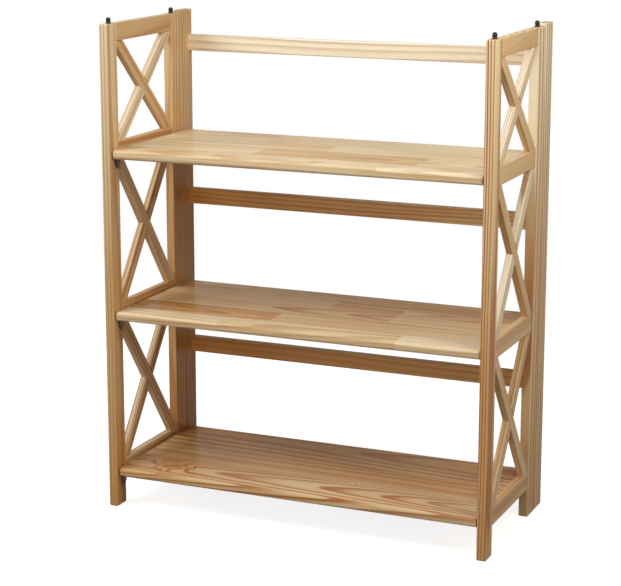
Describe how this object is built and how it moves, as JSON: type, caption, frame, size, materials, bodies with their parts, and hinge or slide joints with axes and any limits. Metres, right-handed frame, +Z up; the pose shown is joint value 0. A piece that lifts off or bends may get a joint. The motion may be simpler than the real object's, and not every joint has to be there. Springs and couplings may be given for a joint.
{
  "type": "folding bookcase",
  "caption": "Folding wooden bookcase: an open back frame, two cross-braced side frames on hinges, tilting shelves on metal rests, and ball pegs on top for stacking.",
  "frame": {"origin": "on the floor, under the middle of the bookcase's own box", "axes": "+Z up, the open front faces -Y, +X to the right when looking along +Y from the front"},
  "size_m": [0.793, 0.356, 0.977],
  "materials": {
    "pine": "clear satin lacquer over pine with visible grain",
    "peg_black": "glossy black",
    "rest_bronze": "dark bronze lacquer on pressed steel",
    "hinge_brass": "satin brass plate",
    "pin_steel": "bright zinc plate"
  },
  "bodies": {
    "frame": {"back_rail_lower": "pine", "back_rail_middle": "pine", "back_rail_upper": "pine", "left_back_post": "pine", "left_front_stile": "pine", "left_rear_stile": "pine", "left_lower_rail": "pine", "left_middle_rail": "pine", "left_upper_rail": "pine", "left_top_rail": "pine", "left_brace_lower_falling": "pine", "left_brace_lower_rising": "pine", "left_rest_lower": "rest_bronze", "left_brace_middle_falling": "pine", "left_brace_middle_rising": "pine", "left_rest_middle": "rest_bronze", "left_brace_upper_falling": "pine", "left_brace_upper_rising": "pine", "left_rest_upper": "rest_bronze", "left_front_peg": "peg_black", "left_rear_peg": "peg_black", "left_hinge_lower_stile_leaf": "hinge_brass", "left_hinge_lower_post_leaf": "hinge_brass", "left_hinge_lower_pin": "pin_steel", "left_hinge_upper_stile_leaf": "hinge_brass", "left_hinge_upper_post_leaf": "hinge_brass", "left_hinge_upper_pin": "pin_steel", "right_back_post": "pine", "right_front_stile": "pine", "right_rear_stile": "pine", "right_lower_rail": "pine", "right_middle_rail": "pine", "right_upper_rail": "pine", "right_top_rail": "pine", "right_brace_lower_falling": "pine", "right_brace_lower_rising": "pine", "right_rest_lower": "rest_bronze", "right_brace_middle_falling": "pine", "right_brace_middle_rising": "pine", "right_rest_middle": "rest_bronze", "right_brace_upper_falling": "pine", "right_brace_upper_rising": "pine", "right_rest_upper": "rest_bronze", "right_front_peg": "peg_black", "right_rear_peg": "peg_black", "right_hinge_lower_stile_leaf": "hinge_brass", "right_hinge_lower_post_leaf": "hinge_brass", "right_hinge_lower_pin": "pin_steel", "right_hinge_upper_stile_leaf": "hinge_brass", "right_hinge_upper_post_leaf": "hinge_brass", "right_hinge_upper_pin": "pin_steel"},
    "lower_shelf": {"shelf_lower": "pine", "shelf_lower_left_pin": "pin_steel", "shelf_lower_right_pin": "pin_steel"},
    "middle_shelf": {"shelf_middle": "pine", "shelf_middle_left_pin": "pin_steel", "shelf_middle_right_pin": "pin_steel"},
    "upper_shelf": {"shelf_upper": "pine", "shelf_upper_left_pin": "pin_steel", "shelf_upper_right_pin": "pin_steel"}
  },
  "joints": [
    {"name": "lower_shelf_tilt", "type": "hinge", "parent": "frame", "child": "lower_shelf", "pos_m": [0, 0.14, 0.0675], "axis": [-1, 0, 0], "range_deg": [0, 91.5]},
    {"name": "middle_shelf_tilt", "type": "hinge", "parent": "frame", "child": "middle_shelf", "pos_m": [0, 0.14, 0.389], "axis": [-1, 0, 0], "range_deg": [0, 91.5]},
    {"name": "upper_shelf_tilt", "type": "hinge", "parent": "frame", "child": "upper_shelf", "pos_m": [0, 0.14, 0.7105], "axis": [-1, 0, 0], "range_deg": [0, 91.5]}
  ]
}
